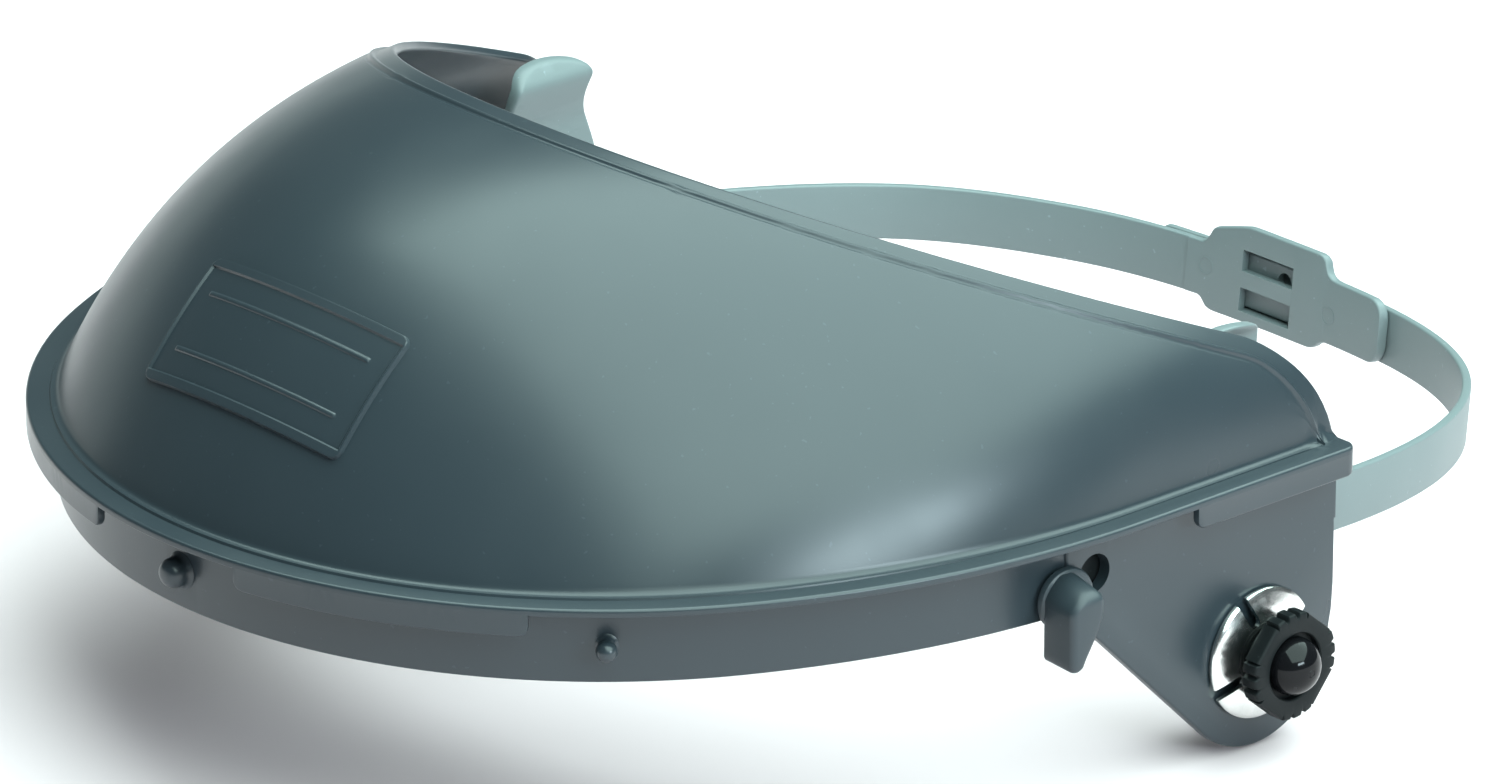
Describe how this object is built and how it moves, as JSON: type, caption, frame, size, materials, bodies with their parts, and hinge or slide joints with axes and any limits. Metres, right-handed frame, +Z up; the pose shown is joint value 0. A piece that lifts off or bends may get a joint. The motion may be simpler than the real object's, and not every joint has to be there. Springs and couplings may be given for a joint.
{
  "type": "face shield crown",
  "caption": "Curved face shield crown with a window flange, side ears, turn latches, tension nuts and a tilting headband with a rear strap; no window fitted.",
  "frame": {"origin": "on the symmetry plane, on the tilt axis seen from the side, at the height of the window flange's top face; it is where the wearer's head holds the headgear", "axes": "+X to the wearer's left, -Y to the front, +Z up"},
  "size_m": [0.2374, 0.277, 0.1083],
  "materials": {
    "shell": "semi-gloss moulded, dark blue-grey",
    "headgear_plastic": "satin moulded, pale grey-green",
    "black_plastic": "satin moulded",
    "gloss_black": "polished black",
    "zinc_plate": "bright zinc plated spring steel",
    "rivet_steel": "dull plated steel",
    "cushion": "terry faced foam"
  },
  "bodies": {
    "headgear": {"headband": "headgear_plastic", "brow_cushion": "cushion", "temple_plate_left": "headgear_plastic", "temple_plate_right": "headgear_plastic", "pivot_screw_left": "gloss_black", "pivot_screw_right": "gloss_black", "friction_disc_left": "black_plastic", "friction_disc_right": "black_plastic", "headband_rivet_left": "rivet_steel", "headband_rivet_right": "rivet_steel", "strap_stud_left": "rivet_steel", "strap_stud_right": "rivet_steel"},
    "crown": {"crown_shell": "shell", "latch_retainer_left": "black_plastic", "latch_retainer_right": "black_plastic", "spring_washer_left": "zinc_plate", "spring_washer_right": "zinc_plate"},
    "latch_left": {"turn_latch_left": "shell"},
    "latch_right": {"turn_latch_right": "shell"},
    "nut_left": {"tension_nut_left": "black_plastic"},
    "nut_right": {"tension_nut_right": "black_plastic"},
    "rear_strap": {"rear_strap_left": "headgear_plastic", "rear_strap_right": "headgear_plastic"}
  },
  "joints": [
    {"name": "crown_tilt", "type": "hinge", "parent": "headgear", "child": "crown", "pos_m": [0, 0, -0.0355], "axis": [-1, 0, 0], "range_deg": [-6, 72]},
    {"name": "latch_left_turn", "type": "hinge", "parent": "crown", "child": "latch_left", "pos_m": [0.1043, -0.0474, -0.0118], "axis": [0.9955, -0.0948, 0], "range_deg": [-90, 90]},
    {"name": "latch_right_turn", "type": "hinge", "parent": "crown", "child": "latch_right", "pos_m": [-0.1043, -0.0474, -0.0118], "axis": [-0.9955, -0.0948, 0], "range_deg": [-90, 90]},
    {"name": "nut_left_turn", "type": "hinge", "parent": "headgear", "child": "nut_left", "pos_m": [0.112, 0, -0.0355], "axis": [1, 0, 0], "range_deg": [-180, 180]},
    {"name": "nut_right_turn", "type": "hinge", "parent": "headgear", "child": "nut_right", "pos_m": [-0.112, 0, -0.0355], "axis": [-1, 0, 0], "range_deg": [-180, 180]},
    {"name": "strap_swing", "type": "hinge", "parent": "headgear", "child": "rear_strap", "pos_m": [0, 0.00935, -0.01785], "axis": [1, 0, 0], "range_deg": [-20, 20]}
  ]
}
